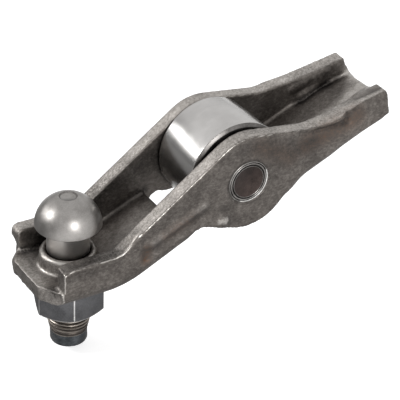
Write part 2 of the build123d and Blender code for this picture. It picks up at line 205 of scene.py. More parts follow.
def node(tree, kind, settings=None, **links):
    """Adds a node.  settings are its properties, its sockets' values by name or number, or
    a colour ramp's stops, and links are its inputs' sources.  A linked socket named with
    spaces is written with underscores, and _6 is the seventh socket."""
    made = tree.nodes.new("ShaderNode" + kind)
    for key, value in (settings or {}).items():
        if key == "stops":
            while len(made.color_ramp.elements) < len(value):
                made.color_ramp.elements.new(0.5)
            for element, (spot, colour) in zip(made.color_ramp.elements, value):
                element.position, element.color = spot, linear(colour)
        elif isinstance(key, str) and hasattr(made, key):
            setattr(made, key, value)
        else:
            made.inputs[key].default_value = value
    for key, source in links.items():
        socket = int(key[1:]) if key[1:].isdigit() else key.replace("_", " ")
        tree.links.new(source, made.inputs[socket])
    return made


def new_material(name):
    """A material with an empty tree, and its output node."""
    mat = bpy.data.materials.new(name)
    mat.use_nodes = True
    mat.node_tree.nodes.clear()
    return mat, mat.node_tree, node(mat.node_tree, "OutputMaterial")


def at(mm):
    """Texture scale whose features are about this many millimetres wide."""
    return 1 / (mm * MM)


def steel(name, dark, light, rough, mottle=4.0, grain=0.35, bump=0.01, lay=(1, 1, 1),
          grain_share=0.4):
    """A bare steel finish.  dark and light bound the mottling, whose patches are mottle mm
    wide, and rough holds the two ends of the roughness.  grain is the width of the surface
    texture in mm, lay squeezes that texture along X, Y and Z to show the way it was cut,
    bump is its relief in mm and grain_share how much it counts against the mottling."""
    mat, tree, out = new_material(name)
    place = node(tree, "TexCoord").outputs["Object"]
    patch = node(tree, "TexNoise", {"Scale": at(mottle), "Detail": 4.0, "Roughness": 0.6},
                 Vector=place)
    laid = node(tree, "Mapping", {"Scale": lay}, Vector=place)
    fine = node(tree, "TexNoise", {"Scale": at(grain), "Detail": 5.0, "Roughness": 0.65},
                Vector=laid.outputs["Vector"])
    both = node(tree, "Mix", {"data_type": "FLOAT", "Factor": grain_share},
                _2=patch.outputs["Fac"], _3=fine.outputs["Fac"])
    colour = node(tree, "ValToRGB", {"stops": ((0.36, dark), (0.64, light))}, Fac=both.outputs[0])
    polish = node(tree, "MapRange", {"From Min": 0.3, "From Max": 0.7, "To Min": rough[0],
                                     "To Max": rough[1]}, Value=both.outputs[0])
    relief = node(tree, "Bump", {"Distance": bump * MM}, Height=fine.outputs["Fac"])
    shader = node(tree, "BsdfPrincipled", {"Metallic": 1.0}, Base_Color=colour.outputs["Color"],
                  Roughness=polish.outputs["Result"], Normal=relief.outputs["Normal"])
    tree.links.new(shader.outputs["BSDF"], out.inputs["Surface"])
    return mat


def pressed_steel():
    """Hardened pressed steel: a thin dark scale over the skin, mottled and finely scratched.
    The sheared edges are lighter and grainy, and parts of the floor are lightened as painted
    light; corners rubbed in the tumbler shine in patches, and painted highlights lie along some
    edges and on the nub; folds, creases and the ring round the axle are darkened as painted
    shade, other places are darker in patches, and pinched places take a brown heat tint."""
    mat, tree, out = new_material("Hardened pressed steel")
    place = node(tree, "TexCoord").outputs["Object"]
    marks = {name: node(tree, "Attribute", {"attribute_name": name}).outputs["Fac"]
             for name in ("sheared", "rubbed", "smut", "tint")}
    mottle = node(tree, "TexNoise", {"Scale": at(3.4), "Detail": 8.0, "Roughness": 0.72},
                  Vector=place)
    along = node(tree, "Mapping", {"Scale": (0.7, 1.0, 1.0)}, Vector=place)
    scratch = node(tree, "TexNoise", {"Scale": at(0.5), "Detail": 4.0, "Roughness": 0.8},
                   Vector=along.outputs["Vector"])
    grit = node(tree, "TexNoise", {"Scale": at(0.4), "Detail": 3.0, "Roughness": 0.75},
                Vector=place)

    # the skin, and over it the grain of the sheared edges
    worn = node(tree, "Mix", {"data_type": "FLOAT", "Factor": 0.6},
                _2=mottle.outputs["Fac"], _3=scratch.outputs["Fac"])
    skin = node(tree, "ValToRGB", {"stops": tuple(zip((0.34, 0.5, 0.66), SKIN))},
                Fac=worn.outputs[0])
    torn = node(tree, "Mix", {"data_type": "FLOAT", "Factor": 0.62},
                _2=mottle.outputs["Fac"], _3=grit.outputs["Fac"])
    edge = node(tree, "ValToRGB", {"stops": tuple(zip((0.32, 0.5, 0.68), SHEARED))},
                Fac=torn.outputs[0])
    base = node(tree, "Mix", {"data_type": "RGBA"}, Factor=marks["sheared"],
                _6=skin.outputs["Color"], _7=edge.outputs["Color"])

    # brown heat tint, then the soot colour: painted shade in folds and creases, darker patches
    # elsewhere
    broken = node(tree, "MapRange", {"From Min": 0.38, "From Max": 0.6}, Value=worn.outputs[0])
    brown = node(tree, "Math", {"operation": "MULTIPLY"}, _0=marks["tint"],
                 _1=broken.outputs["Result"])
    tinted = node(tree, "Mix", {"data_type": "RGBA", "blend_type": "MULTIPLY",
                                7: linear(HEAT_TINT)},
                  Factor=brown.outputs["Value"], _6=base.outputs[2])
    smut_and_shade_breakup = node(tree, "MapRange", {"From Min": 0.35, "From Max": 0.62, "To Min": 1.0,
                                    "To Max": 0.35}, Value=torn.outputs[0])
    smut = node(tree, "Math", {"operation": "MULTIPLY", "use_clamp": True}, _0=marks["smut"],
                _1=smut_and_shade_breakup.outputs["Result"])
    dark = node(tree, "Mix", {"data_type": "RGBA", 7: linear(SOOT_AND_SHADE)},
                Factor=smut.outputs["Value"], _6=tinted.outputs[2])

    # rubbed corners and painted highlights, bright where the mottling lets them through
    gate = node(tree, "TexNoise", {"Scale": at(2.6), "Detail": 8.0, "Roughness": 0.8},
                Vector=place)
    patchy = node(tree, "MapRange", {"From Min": 0.38, "From Max": 0.62},
                  Value=gate.outputs["Fac"])
    wear_and_highlight = node(tree, "Math", {"operation": "ADD"}, _0=marks["rubbed"],
                _1=patchy.outputs["Result"])
    rub_and_highlight = node(tree, "Math", {"operation": "SUBTRACT", "use_clamp": True, 1: 1.0},
               _0=wear_and_highlight.outputs["Value"])
    bright = node(tree, "Mix", {"data_type": "RGBA", 7: linear(RUBBED_AND_HIGHLIT_STEEL)},
                  Factor=rub_and_highlight.outputs["Value"], _6=dark.outputs[2])

    # the scale is satin, rubbed steel is smoother, and the grain stands out as a fine relief
    dull = node(tree, "MapRange", {"From Min": 0.3, "From Max": 0.7, "To Min": 0.42,
                                   "To Max": 0.58}, Value=worn.outputs[0])
    polish = node(tree, "Mix", {"data_type": "FLOAT", 3: 0.3}, Factor=rub_and_highlight.outputs["Value"],
                  _2=dull.outputs["Result"])
    depth = node(tree, "Mix", {"data_type": "FLOAT"}, Factor=marks["sheared"],
                 _2=scratch.outputs["Fac"], _3=grit.outputs["Fac"])
    relief = node(tree, "Bump", {"Distance": 0.045 * MM}, Height=depth.outputs[0])
    shader = node(tree, "BsdfPrincipled", {"Metallic": 1.0}, Base_Color=bright.outputs[2],
                  Roughness=polish.outputs[0], Normal=relief.outputs["Normal"])
    tree.links.new(shader.outputs["BSDF"], out.inputs["Surface"])
    return mat


# ------------------------------------------------------------------ mesh helpers
def only(obj):
    """Selects obj alone and makes it active."""
    bpy.ops.object.select_all(action="DESELECT")
    obj.select_set(True)
    bpy.context.view_layer.objects.active = obj


def edit(obj):
    """Enters edit mode on obj with all of it selected."""
    only(obj)
    bpy.ops.object.mode_set(mode="EDIT")
    bpy.ops.mesh.select_all(action="SELECT")


def done(obj, smooth=35):
    """Leaves edit mode and shades obj smooth up to an angle."""
    if bpy.context.mode != "OBJECT":
        bpy.ops.object.mode_set(mode="OBJECT")
    only(obj)
    bpy.ops.object.shade_smooth_by_angle(angle=radians(smooth))


def fair_copy(source, name):
    """A copy of a CAD node's mesh as one closed surface with its flat faces whole."""
    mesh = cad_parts[source].data.copy()
    mesh.materials.clear()
    obj = bpy.data.objects.new(name, mesh)
    bpy.context.scene.collection.objects.link(obj)
    if mesh.has_custom_normals:
        only(obj)
        bpy.ops.mesh.customdata_custom_splitnormals_clear()
    edit(obj)
    bpy.ops.mesh.remove_doubles(threshold=2e-6)
    bpy.ops.mesh.dissolve_limited(angle_limit=radians(0.6))
    bpy.ops.object.mode_set(mode="OBJECT")
    return obj


def break_edges(obj, width, segments=2, angle=32, material=-1):
    """Rounds the edges sharper than angle, as deburring does."""
    only(obj)
    mod = obj.modifiers.new("Break edges", "BEVEL")
    mod.width, mod.segments, mod.limit_method = width, segments, "ANGLE"
    mod.angle_limit, mod.use_clamp_overlap, mod.material = radians(angle), False, material
    bpy.ops.object.modifier_apply(modifier=mod.name)


def lathe(name, outline, centre, axis, steps, ring=False):
    """Spins an outline of (radius, height) points about an axis through centre.  A ring's
    outline is closed; a shaft's starts and ends on the axis."""
    along, out = Vector(axis), Vector((1, 0, 0))
    points = [Vector(centre) + out * r + along * h for r, h in outline]
    links = [(i, i + 1) for i in range(len(points) - 1)]
    mesh = bpy.data.meshes.new(name)
    mesh.from_pydata(points, links + ([(len(points) - 1, 0)] if ring else []), [])
    obj = bpy.data.objects.new(name, mesh)
    bpy.context.scene.collection.objects.link(obj)
    edit(obj)
    bpy.ops.mesh.spin(steps=steps, angle=2 * pi, center=centre, axis=axis)
    bpy.ops.mesh.select_all(action="SELECT")
    bpy.ops.mesh.remove_doubles(threshold=1e-6)
    bpy.ops.mesh.normals_make_consistent(inside=False)
    bpy.ops.object.mode_set(mode="OBJECT")
    return obj


def even_skin(obj, grid, passes):
    """Lays obj's surface anew as an even net that can carry dents, and eases its edges."""
    only(obj)
    net = obj.modifiers.new("Even skin", "REMESH")
    net.mode, net.voxel_size, net.use_smooth_shade = "VOXEL", grid, True
    bpy.ops.object.modifier_apply(modifier=net.name)
    ease = obj.modifiers.new("Eased edges", "SMOOTH")
    ease.factor, ease.iterations = 0.5, passes
    bpy.ops.object.modifier_apply(modifier=ease.name)


def places(obj):
    """The obj's vertices and their normals, as two arrays."""
    mesh = obj.data
    found = []
    for source, key in ((mesh.vertices, "co"), (mesh.vertex_normals, "vector")):
        flat = np.empty(len(mesh.vertices) * 3)
        source.foreach_get(key, flat)
        found.append(flat.reshape(-1, 3))
    return found


def felt(points, start, end, reach):
    """How strongly a mark that runs from start to end (mm) is felt at each point: 1 along
    its middle, fading to 0 at its reach."""
    a, b = np.array(start) * MM, np.array(end) * MM
    run = b - a
    share = np.clip((points - a) @ run / max(run @ run, 1e-12), 0, 1)
    away = np.linalg.norm(points - a - share[:, None] * run, axis=1) / (reach * MM)
    return np.clip(1 - away ** 2, 0, 1) ** 2


def push(obj, dents):
    """Pushes the skin along each dent's mm vector, most along the dent's middle."""
    points, _ = places(obj)
    for start, end, reach, shove in dents:
        points += felt(points, start, end, reach)[:, None] * np.array(shove) * MM
    obj.data.vertices.foreach_set("co", points.ravel())
    obj.data.update()


def ripple(obj, name, width, height, weights):
    """Lifts and sinks the skin by a soft cloud pattern, as far as each vertex's weight."""
    group = obj.vertex_groups.new(name=name)
    for i in np.flatnonzero(weights > 0.01):
        group.add([int(i)], float(weights[i]), "REPLACE")
    cloud = bpy.data.textures.new(name, "CLOUDS")
    cloud.noise_scale, cloud.noise_depth = width, 2
    only(obj)
    wave = obj.modifiers.new(name, "DISPLACE")
    wave.texture, wave.texture_coords, wave.vertex_group = cloud, "LOCAL", name
    wave.strength, wave.mid_level = height, 0.5
    bpy.ops.object.modifier_apply(modifier=wave.name)


def bend(obj, passes):
    """How much the skin bends at each vertex: above 0 on a corner, below 0 in a fold."""
    points, normals = places(obj)
    pairs = np.empty(len(obj.data.edges) * 2, dtype=int)
    obj.data.edges.foreach_get("vertices", pairs)
    a, b = pairs.reshape(-1, 2).T
    step = points[a] - points[b]
    step /= np.maximum(np.linalg.norm(step, axis=1), 1e-9)[:, None]
    count = np.bincount(a, minlength=len(points)) + np.bincount(b, minlength=len(points))
    value = (np.bincount(a, (step * normals[a]).sum(1), len(points))
             - np.bincount(b, (step * normals[b]).sum(1), len(points))) / count
    for _ in range(passes):
        value = (np.bincount(a, value[b], len(points)) + np.bincount(b, value[a], len(points))
                 + value * count) / (2 * count)
    return value


def ease_in(value, low, high):
    """0 below low, 1 above high and a smooth rise between them."""
    share = np.clip((value - low) / (high - low), 0, 1)
    return share * share * (3 - 2 * share)


def band(value, centre, half_width):
    """1 where value is at centre, fading to 0 at half_width to either side."""
    return np.clip(1 - ((value - centre) / half_width) ** 2, 0, 1)


def most_felt(points, marks):
    """The strongest of a table of marks at each point."""
    return np.max([felt(points, start, end, reach) * strength
                   for start, end, reach, strength in marks], axis=0)


def mark(obj, name, values):
    """Stores values on obj's vertices for its material to read."""
    layer = obj.data.attributes.new(name, "FLOAT", "POINT")
    layer.data.foreach_set("value", values.astype(np.float32))


def paint(obj, rule, *materials):
    """Gives each face the material whose index rule(face centre) returns.  With no rule
    all faces keep the first."""
    for mat in materials:
        obj.data.materials.append(mat)
    if rule:
        for face in obj.data.polygons:
            face.material_index = rule(face.center)


# ------------------------------------------------------------------ settings
class ROCKER_sizes(bpy.types.PropertyGroup):
    skin_grid: FloatProperty(
        name="Skin grid", description="Width of the quads that carry the arm's dents",
        default=0.25 * MM, unit="LENGTH")
    edge_passes: IntProperty(
        name="Edge easing", description="How often the arm's sharp edges are eased", default=3)
    nut_break: FloatProperty(
        name="Nut edge break", description="Radius on the corners of the nut",
        default=0.14 * MM, unit="LENGTH")
    roller_break: FloatProperty(
        name="Roller edge break", description="Radius between the roller's chamfers and faces",
        default=0.12 * MM, unit="LENGTH")
    thread_pitch: FloatProperty(
        name="Thread pitch", description="Distance between the stud's thread crests",
        default=0.75 * MM, unit="LENGTH")
    thread_depth: FloatProperty(
        name="Thread depth", description="Crest to root of the stud's thread",
        default=0.5 * MM, unit="LENGTH")
    lathe_steps: IntProperty(
        name="Lathe steps", description="Steps round each turned piece", default=144)


class ROCKER_colours(bpy.types.PropertyGroup):
    floor: FloatVectorProperty(
        name="Floor", description="Colour of the floor under the arm",
        subtype="COLOR", size=4, min=0, max=1, default=linear("F4F4F4"))
    backdrop: FloatVectorProperty(
        name="Backdrop", description="Colour behind the arm",
        subtype="COLOR", size=4, min=0, max=1, default=(1, 1, 1, 1))


# ------------------------------------------------------------------ the arm's skin
# Rings in the skin as (middle, half width) in mm: round the axle from its edge, and round
# the stud from its axis.
# The second ring, round the axle, carries painted shade.
STAKED_RING, SHADE_RING = (0.22, 0.34), (0.62, 0.36)
COLLAR_RIM, COLLAR_FOOT = (5.0, 0.6), (5.75, 0.3)
COLLAR_WALL_R, COLLAR_WALL_FADE = 5.6, 0.5


def stake_in(arm):
    """Draws the skin in round both ends of the axle, as staking does."""
    points, _ = places(arm)
    away = (np.hypot(points[:, 0], points[:, 2]) - AXLE_R) / MM
    outside = np.abs(points[:, 1]) > WALL_OUT - 0.5 * MM
    drawn_in = 0.14 * MM
    points[:, 1] -= np.sign(points[:, 1]) * band(away, *STAKED_RING) * outside * drawn_in
    arm.data.vertices.foreach_set("co", points.ravel())
    arm.data.update()


def arm_zones(arm):
    """How far each vertex belongs to the parts of the arm that the shears and the press
    treat in their own way, from 0 to 1.  Places are in mm in the arm's frame."""
    points, normals = places(arm)
    x, z, side = points[:, 0] / MM, points[:, 2] / MM, np.abs(points[:, 1]) / MM
    over_walls = ease_in(side, 6.2, 7.4) * ease_in(1 - np.abs(normals[:, 1]), 0.35, 0.75)
    return {
        "wall tops": over_walls * ease_in(normals[:, 2], -0.1, 0.35),
        "wall outsides": side > WALL_OUT / MM - 0.6,
        "valve end": ease_in(x, 9, 15),
        "pivot half": ease_in(-x, 2, 8),
        "stud end": ease_in(-x, 24, 28),
        "pivot end": ease_in(-x, 24, 30),
        "tab end": ease_in(-normals[:, 0], 0.4, 0.7) * ease_in(-x, 34, 35),
        "off the eye": 1 - 0.6 * ease_in(9.5 - np.hypot(x, z), 0, 2),
    }


def tear(arm, zones):
    """Ripples the pressed skin, and the walls' tops and the tab, which the shears tore
    unevenly and most at the pinched valve end."""
    torn_most = np.maximum(zones["valve end"], 0.6 * zones["pivot end"])
    ripple(arm, "Pressed skin", 3.5 * MM, 0.06 * MM, zones["off the eye"])
    ripple(arm, "Torn tops", 2.2 * MM, 0.36 * MM, zones["wall tops"] * (0.15 + 0.85 * torn_most))
    ripple(arm, "Torn tab", 1.3 * MM, 0.3 * MM, zones["tab end"])


def mark_finish(arm, zones):
    """Marks where the arm is sheared, rubbed, darkened or heat tinted, and where painted
    highlights, light and shade lie, for its material.
    """
    points, normals = places(arm)
    corner = bend(arm, 1)
    up = ease_in(normals[:, 2], 0.0, 0.4)
    from_stud = np.hypot(points[:, 0] - STUD_X, points[:, 1]) / MM
    height = points[:, 2] / MM - COLLAR_BASE
    from_axle = (np.hypot(points[:, 0], points[:, 2]) - AXLE_R) / MM

    # the near wall's top by the stud shows less of its lighter grain
    dulled = 1 - 0.6 * (zones["stud end"] * (points[:, 1] < 0))
    mark(arm, "sheared", np.maximum.reduce([
        zones["wall tops"] * dulled, 0.5 * zones["tab end"],
        most_felt(points, WORN), most_felt(points, GRAINED_AND_LIT) * up]))

    # sharp corners shine where the tumbler rubbed them, some edges carry painted highlight lines,
    # and the collar's rim and foot shine too
    sharp = ease_in(corner, 0.07, 0.15)
    rubbed_and_highlit_edges = sharp * (0.7 - 0.5 * zones["valve end"]) + sharp * most_felt(points, EDGE_HIGHLIGHTS) * 1.8
    rim = band(from_stud, *COLLAR_RIM) * (height > 2.5) * 1.3
    foot = band(from_stud, *COLLAR_FOOT) * (height < 0.6) * up
    mark(arm, "rubbed", np.clip(
        np.maximum.reduce([rubbed_and_highlit_edges, rim, foot, most_felt(points, POLISHED_AND_HIGHLIT)]), 0, 2))

    # painted shade darkens the folds and the ring round the staked axle, and the collar's wall is
    # darkened too
    fold_shade = ease_in(-corner, 0.05, 0.14) * zones["pivot half"] * 0.8
    shade_round_axle = band(from_axle, *SHADE_RING) * zones["wall outsides"] * 0.75
    collar_wall = (np.clip(1 - np.abs(from_stud - COLLAR_WALL_R) / COLLAR_WALL_FADE, 0, 1)
                   * (np.abs(height - 1.4) < 0.8) * 0.6)
    mark(arm, "smut", np.maximum.reduce([
        fold_shade, most_felt(points, SMUT_AND_SHADE), shade_round_axle, collar_wall]))
    mark(arm, "tint", most_felt(points, TINT))


# ------------------------------------------------------------------ pieces
class ROCKER_OT_arm(bpy.types.Operator):
    """Eases the pressed arm's edges, dents and ripples its skin and marks where it is
    sheared, rubbed, darkened or heat tinted, and where highlights and shade are painted on"""
    bl_idname = "rocker.arm"
    bl_label = "Pressed Arm"

    def execute(self, context):
        sizes = context.scene.rocker_sizes
        arm = fair_copy("arm_body", "arm_pressing")
        even_skin(arm, sizes.skin_grid, sizes.edge_passes)
        push(arm, DENTS)

        zones = arm_zones(arm)
        stake_in(arm)
        tear(arm, zones)
        mark_finish(arm, zones)
        paint(arm, None, pressed_steel())
        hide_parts("arm_body")
        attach(arm, "arm")
        return {"FINISHED"}


class ROCKER_OT_axle(bpy.types.Operator):
    """Turns the axle, whose ends are staked into the walls round a small groove"""
    bl_idname = "rocker.axle"
    bl_label = "Axle"

    def execute(self, context):
        half, y = (AXLE_HIGH.y - AXLE_LOW.y) / 2, middle("axle").y
        # the staked end, as (how far in from the rim, how far past the CAD face) in mm
        staked_end = ((0.72, -0.05), (0.66, 0.0), (0.6, -0.06), (0.55, -0.25), (0.4, -0.25),
                      (0.34, -0.06), (0.26, 0.0), (0.14, 0.0), (0.06, -0.06), (0.0, -0.2),
                      (-0.07, -0.06), (-0.16, 0.02), (-0.27, 0.0), (-0.36, -0.1), (-0.4, -0.3),
                      (0.0, -0.75))
        end = [(0, half - 0.05 * MM)]
        end += [(AXLE_R - inset * MM, half + rise * MM) for inset, rise in staked_end]
        outline = [(r, -h) for r, h in end] + [(r, h) for r, h in reversed(end)]
        axle = lathe("staked_axle", outline, (0, y, 0), (0, 1, 0),
                     context.scene.rocker_sizes.lathe_steps)

        # the flat end keeps a brown scale, the groove and a thin line at the rim's edge are
        # painted black as shade, and the staked rim is squeezed smooth, with a painted highlight
        # on its valve side
        scale = steel("Axle end scale", "302A28", "4A413E", (0.4, 0.55), mottle=1.8, grain=0.25)
        bright = steel("Staked rim, painted highlight", "C4C2C0", "F0EEEB", (0.22, 0.32), mottle=1.5, grain=0.25)
        rim = steel("Staked rim", "625F5D", "93908D", (0.25, 0.38), mottle=1.5, grain=0.25)
        groove_shade = steel("Axle groove, painted shade", "2A2827", "3C3937", (0.5, 0.6), mottle=1.5, grain=0.25)
        face_r, groove_in, groove_out = (AXLE_R - inset * MM for inset in (0.7, 0.6, 0.35))

        def finish(centre):
            away = sqrt(centre.x ** 2 + centre.z ** 2)
            if away < face_r:
                return 0
            if groove_in < away < groove_out or abs(away - AXLE_R) < 0.05 * MM:
                return 2
            valve_side = centre.x - centre.z > 0.5 * away
            return 3 if valve_side and away > AXLE_R else 1

        paint(axle, finish, scale, rim, groove_shade, bright)
        done(axle, 50)
        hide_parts("axle")
        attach(axle, "arm")
        return {"FINISHED"}


class ROCKER_OT_roller(bpy.types.Operator):
    """Turns the roller, a hardened ring ground on its outside"""
    bl_idname = "rocker.roller"
    bl_label = "Roller"

    def execute(self, context):
        sizes = context.scene.rocker_sizes
        half, y = (ROLLER_HIGH.y - ROLLER_LOW.y) / 2, middle("roller").y
        running_gap = 0.02 * MM
        bore_r = AXLE_R + running_gap + NEEDLE_R * 2 + running_gap
        lead_in, shoulder_in, shoulder_down = 0.3 * MM, 0.75 * MM, 0.42 * MM
        half_section = [(bore_r, half - lead_in), (bore_r + lead_in, half),
                        (ROLLER_R - shoulder_in, half), (ROLLER_R, half - shoulder_down)]
        outline = half_section + [(r, -h) for r, h in reversed(half_section)]
        roller = lathe("ground_roller", outline, (0, y, 0), (0, 1, 0), sizes.lathe_steps,
                       ring=True)
        break_edges(roller, sizes.roller_break, segments=3, angle=15)
        # the running face is ground to a near mirror, its ends are only turned
        ground = steel("Ground bearing steel", "B2B0AE", "C3C1BF", (0.2, 0.27), mottle=7.0,
                       grain=0.5, bump=0.0015, lay=(0.12, 5, 0.12), grain_share=0.25)
        turned = steel("Turned roller end", "4E4C4A", "7C7977", (0.3, 0.42), mottle=3.0,
                       grain=0.3, bump=0.004)
        running_r = ROLLER_R - 0.05 * MM

        def finish(centre):
            return 0 if sqrt(centre.x ** 2 + centre.z ** 2) > running_r else 1

        paint(roller, finish, ground, turned)
        done(roller, 60)
        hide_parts("roller")
        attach(roller, "roller")
        return {"FINISHED"}


class ROCKER_OT_needles(bpy.types.Operator):
    """Finishes the needle rollers between the axle and the roller"""
    bl_idname = "rocker.needles"
    bl_label = "Needle Rollers"

    def execute(self, context):
        # ground all over, so even and bright
        ground = steel("Ground needle steel", "8E8E90", "A8A8AA", (0.15, 0.25), mottle=3.0,
                       grain=0.4, bump=0.002, lay=(0.2, 4, 0.2))
        for name in NEEDLES:
            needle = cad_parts[name]
            needle.data.materials.clear()
            needle.data.materials.append(ground)
        return {"FINISHED"}


class ROCKER_OT_stud(bpy.types.Operator):
    """Turns the ball stud and rolls its thread, which runs out over a plain tip"""
    bl_idname = "rocker.stud"
    bl_label = "Ball Stud"

    def execute(self, context):
        sizes = context.scene.rocker_sizes
        pitch, depth = sizes.thread_pitch, sizes.thread_depth
        crest = 4.0 * MM                                 # half the thread's major diameter
        root, tip_r = crest - depth, crest - 0.52 * MM
        top, tip = STUD_HIGH.z, STUD_LOW.z
        full, plain = tip + 4.75 * MM, tip + 2.5 * MM    # the crest tapers away between these
        run_out = plain + (root - tip_r) / (crest - tip_r) * (full - plain)

        def crest_at(z):
            return tip_r + (crest - tip_r) * min(max((z - plain) / (full - plain), 0), 1)

        # the ball, from the flat on its top to just above its middle
        flat_r, dish, arc_steps = 1.7 * MM, 0.2 * MM, 48
        ball_z = top - sqrt(BALL_R ** 2 - flat_r ** 2)
        under, neck_r = ball_z + 0.2 * MM, crest - 0.05 * MM
        relief_z, relief_r = ball_z - 5.1 * MM, crest - 0.3 * MM
        start, stop = asin(0.2 * MM / BALL_R), asin((top - ball_z) / BALL_R)
        turns = [stop + (start - stop) * i / arc_steps for i in range(arc_steps + 1)]
        ball_arc = [(BALL_R * cos(turn), ball_z + BALL_R * sin(turn)) for turn in turns]
        centre_mark = [(0, top - dish), (flat_r - 0.3 * MM, top - dish),
                       (flat_r - 0.08 * MM, top - 0.03 * MM)]
        neck = [(BALL_R - 0.12 * MM, under - 0.12 * MM), (neck_r + 0.5 * MM, under - 0.16 * MM),
                (neck_r + 0.1 * MM, under - 0.3 * MM), (neck_r, under - 0.6 * MM),
                (neck_r, relief_z)]
        shank = [(relief_r, relief_z - 0.4 * MM), (relief_r, relief_z - 0.9 * MM),
                 (root, relief_z - 1.1 * MM), (root, run_out)]
        dog_tip = [(tip_r, plain), (tip_r, tip + 0.5 * MM), (tip_r - 0.14 * MM, tip + 0.2 * MM),
                   (tip_r - 0.5 * MM, tip + 0.02 * MM), (tip_r - 0.6 * MM, tip), (0, tip)]
        stud = lathe("ball_stud_turned", centre_mark + ball_arc + neck + shank + dog_tip,
                     (STUD_X, 0, 0), (0, 0, 1), sizes.lathe_steps)

        # one tooth of the thread, as (radius, share of the pitch), wound up the shank from
        # where it runs out
        flank, brow = root + 0.04 * MM, crest - 0.02 * MM
        tooth = ((root - 0.02 * MM, 0.0), (flank, 0.12), (crest - 0.2 * MM, 0.3), (brow, 0.44),
                 (crest, 0.5), (brow, 0.56), (crest - 0.2 * MM, 0.7), (flank, 0.88),
                 (root - 0.02 * MM, 1.0))
        low, high, turn_steps = run_out - 0.2 * MM, relief_z - 1.3 * MM, 48
        wound = int((high - low) / pitch)
        mesh = bpy.data.meshes.new("stud_thread")
        mesh.from_pydata([(STUD_X + r, 0, low + share * pitch) for r, share in tooth],
                         [(i, i + 1) for i in range(len(tooth) - 1)], [])
        thread = bpy.data.objects.new("stud_thread", mesh)
        context.scene.collection.objects.link(thread)
        edit(thread)
        bpy.ops.mesh.spin(steps=wound * turn_steps, angle=2 * pi * wound,
                          center=(STUD_X, 0, 0), axis=(0, 0, 1))
        bpy.ops.object.mode_set(mode="OBJECT")
        for i, v in enumerate(thread.data.vertices):
            v.co.z += (i // len(tooth)) / turn_steps * pitch
            away = sqrt((v.co.x - STUD_X) ** 2 + v.co.y ** 2)
            squeeze = min(1, crest_at(v.co.z) / away)
            v.co.x, v.co.y = STUD_X + (v.co.x - STUD_X) * squeeze, v.co.y * squeeze
        edit(thread)
        bpy.ops.mesh.remove_doubles(threshold=1e-6)
        bpy.ops.mesh.normals_make_consistent(inside=False)
        done(thread, 40)

        # the ball's polish is worn to an even satin, the neck is turned bright, the thread
        # keeps a brown rolling scale and is darker in its root, and the tip is blued by heat
        ball = steel("Polished ball", "827F7C", "9F9C99", (0.32, 0.42), mottle=2.4, grain=0.22,
                     bump=0.005, lay=(1, 1, 2))
        turned = steel("Turned neck", "C2BFBC", "D8D5D2", (0.34, 0.42), mottle=3.0, grain=0.2,
                       bump=0.003, lay=(0.3, 0.3, 4))
        rolled = steel("Rolled thread", "7A746F", "A8A097", (0.28, 0.4), mottle=2.4, grain=0.25,
                       bump=0.004, grain_share=0.25)
        blued = steel("Blued tip", "3C4043", "787C80", (0.2, 0.32), mottle=2.4, grain=0.3,
                      bump=0.004, lay=(0.5, 0.5, 3))
        punched = steel("Centre mark", "4A4745", "8D8A87", (0.4, 0.5), mottle=0.7, grain=0.3)
        dark_root = steel("Thread root", "3A3633", "57514C", (0.45, 0.55), mottle=1.5, grain=0.25)

        def finish(centre):
            away = sqrt((centre.x - STUD_X) ** 2 + centre.y ** 2)
            if centre.z > top - dish + 0.01 * MM and away < flat_r:
                return 4
            if centre.z > under - 0.14 * MM:
                return 0
            if centre.z > relief_z:
                return 1
            return 2 if centre.z > plain else 3

        def thread_finish(centre):
            away = sqrt((centre.x - STUD_X) ** 2 + centre.y ** 2)
            return 0 if away > root + 0.45 * depth else 1

        paint(stud, finish, ball, turned, rolled, blued, punched)
        done(stud, 40)
        paint(thread, thread_finish, rolled, dark_root)
        only(stud)
        thread.select_set(True)
        bpy.ops.object.join()
        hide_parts("ball_stud")
        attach(stud, "stud")
        return {"FINISHED"}


class ROCKER_OT_nut(bpy.types.Operator):
    """Breaks the edges of the lock nut and gives it its dull dark finish"""
    bl_idname = "rocker.nut"
    bl_label = "Lock Nut"

    def execute(self, context):
        nut = fair_copy("lock_nut", "lock_nut_hex")
        # phosphate turns the steel a flat blue-grey; its broken corners are bared by handling and
        # painted bright as a highlight
        flat = steel("Phosphated nut steel", "525254", "6D6D6F", (0.4, 0.55), mottle=2.4,
                     grain=0.25, bump=0.012)
        worn = steel("Nut corner, bared and highlit", "9A9A9A", "E2E1DF", (0.28, 0.4), mottle=1.6, grain=0.3,
                     bump=0.005)
        paint(nut, None, flat, worn)
        break_edges(nut, context.scene.rocker_sizes.nut_break, material=1)
        done(nut)
        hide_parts("lock_nut")
        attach(nut, "arm")
        return {"FINISHED"}


